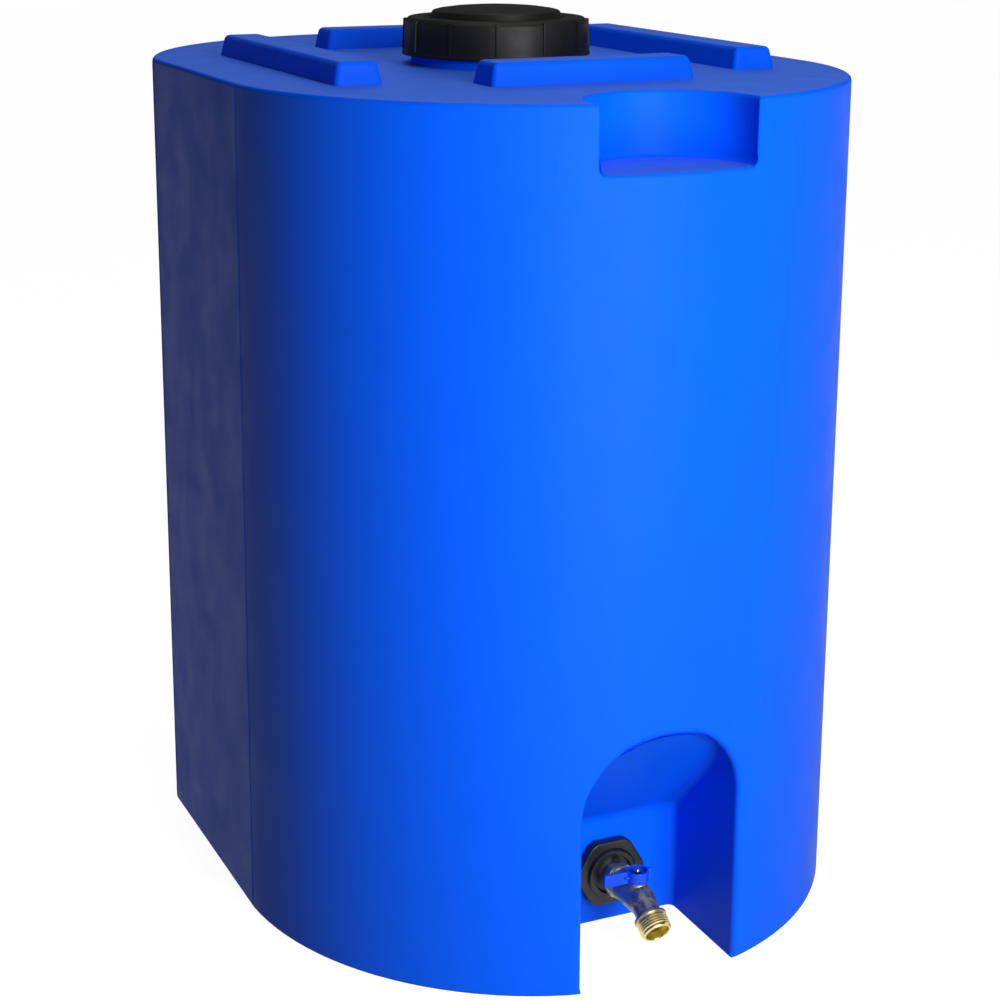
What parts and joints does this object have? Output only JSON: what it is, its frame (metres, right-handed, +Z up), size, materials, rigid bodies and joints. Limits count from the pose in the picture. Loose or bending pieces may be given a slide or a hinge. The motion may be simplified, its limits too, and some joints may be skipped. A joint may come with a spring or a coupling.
{
  "type": "stackable water storage tank",
  "caption": "Upright moulded plastic water tank with a screw filler cap, deck ridges, a carrying notch and a quarter-turn hose spigot in a front alcove.",
  "frame": {"origin": "on the floor, at the middle of the tank's footprint", "axes": "+Z up, +X to the right when facing the spigot side, which looks along -Y"},
  "size_m": [0.536, 0.7061, 0.7595],
  "materials": {
    "tank_blue": "rotomoulded polyethylene, satin",
    "cap_black": "injection moulded polypropylene",
    "fitting_black": "injection moulded polypropylene",
    "rubber_black": "EPDM rubber",
    "nickel_plate": "nickel-plated forged brass",
    "bare_brass": "machined brass",
    "ball_chrome": "chrome-plated, polished",
    "seat_white": "PTFE, waxy",
    "handle_blue": "powder-coated zinc casting, glossy",
    "zinc_steel": "bright zinc plated"
  },
  "bodies": {
    "tank": {"tank_shell": "tank_blue", "bulkhead_body": "fitting_black", "bulkhead_gasket": "rubber_black", "bulkhead_washer": "fitting_black", "bulkhead_nut": "fitting_black", "inlet_piece": "nickel_plate", "valve_body": "nickel_plate", "inlet_ball_seat": "seat_white", "outlet_ball_seat": "seat_white", "stem_thrust_washer": "seat_white", "stem_packing": "seat_white", "gland_nut": "bare_brass"},
    "cap_seal": {"cap_gasket": "rubber_black"},
    "cap": {"filler_cap": "cap_black"},
    "lever": {"valve_ball": "ball_chrome", "valve_stem": "bare_brass", "stem_o_ring": "rubber_black", "valve_handle": "handle_blue", "handle_washer": "zinc_steel", "handle_nut": "zinc_steel"}
  },
  "joints": [
    {"name": "cap_lift", "type": "slide", "parent": "tank", "child": "cap_seal", "axis": [0, 0, 1], "range_m": [0, 0.018]},
    {"name": "cap_turn", "type": "hinge", "parent": "cap_seal", "child": "cap", "pos_m": [0, -0.014, 0.73], "axis": [0, 0, 1], "range_deg": [0, 1080]},
    {"name": "valve_turn", "type": "hinge", "parent": "tank", "child": "lever", "pos_m": [0.004, -0.296, 0.049], "axis": [0, 0, 1], "range_deg": [0, 90]}
  ],
  "couplings": [
    {"joint": "cap_lift", "follows": "cap_turn", "m_per_rad": 0.00095493}
  ]
}
